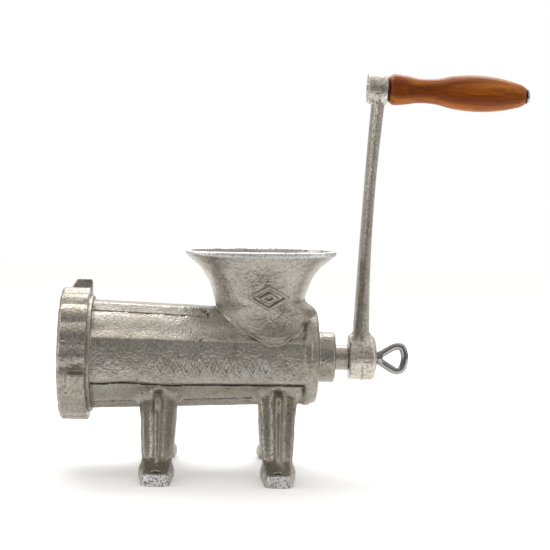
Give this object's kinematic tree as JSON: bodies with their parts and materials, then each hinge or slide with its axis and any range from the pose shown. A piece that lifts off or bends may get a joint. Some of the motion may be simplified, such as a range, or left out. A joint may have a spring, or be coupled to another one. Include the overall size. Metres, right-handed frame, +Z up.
{
  "type": "hand crank meat grinder",
  "caption": "Bolt-down hand crank meat grinder: cast barrel with flared hopper and legs, ring nut, plate, knife, feed screw and a crank with a wooden grip.",
  "frame": {"origin": "centre of the bounding box's bottom face, on the bench surface under the feet", "axes": "+X along the barrel from the ring nut to the crank, +Y across the barrel, +Z up; the crank stands straight up"},
  "size_m": [0.375, 0.16, 0.3246],
  "materials": {
    "tinned_iron": "hot-dipped tin over a rough sand casting, semi-gloss",
    "tool_steel": "ground",
    "bright_steel": "bright plated",
    "dark_steel": "dark oiled",
    "bronze": "machined",
    "fibre": "matte",
    "varnished_wood": "turned and varnished, satin"
  },
  "bodies": {
    "housing": {"housing": "tinned_iron", "rear_bush": "bronze", "thrust_washer": "fibre", "plate_key_pin": "tool_steel"},
    "rotor": {"auger": "tinned_iron", "drive_stud": "tool_steel", "knife": "tool_steel", "crank_arm": "tinned_iron", "handle_spindle": "bright_steel", "inner_washer": "dark_steel", "outer_washer": "dark_steel"},
    "grip": {"handle_grip": "varnished_wood"},
    "thumb_screw": {"thumb_screw": "bright_steel"},
    "plate": {"grinder_plate": "tool_steel"},
    "ring": {"ring_nut": "tinned_iron"}
  },
  "joints": [
    {"name": "crank_turn", "type": "hinge", "parent": "housing", "child": "rotor", "pos_m": [0, 0, 0.093], "axis": [1, 0, 0], "continuous": true},
    {"name": "grip_spin", "type": "hinge", "parent": "rotor", "child": "grip", "pos_m": [0.06322, 0, 0.312], "axis": [0.9997, 0, -0.0262], "continuous": true},
    {"name": "thumb_screw_turn", "type": "hinge", "parent": "rotor", "child": "thumb_screw", "pos_m": [0.075, 0, 0.093], "axis": [1, 0, 0], "range_deg": [0, 1080]},
    {"name": "plate_slide", "type": "slide", "parent": "housing", "child": "plate", "axis": [-1, 0, 0], "range_m": [0, 0.012]},
    {"name": "ring_turn", "type": "hinge", "parent": "plate", "child": "ring", "pos_m": [-0.176, 0, 0.093], "axis": [-1, 0, 0], "range_deg": [0, 1440]}
  ],
  "couplings": [
    {"joint": "plate_slide", "follows": "ring_turn", "m_per_rad": 0.00047746}
  ]
}
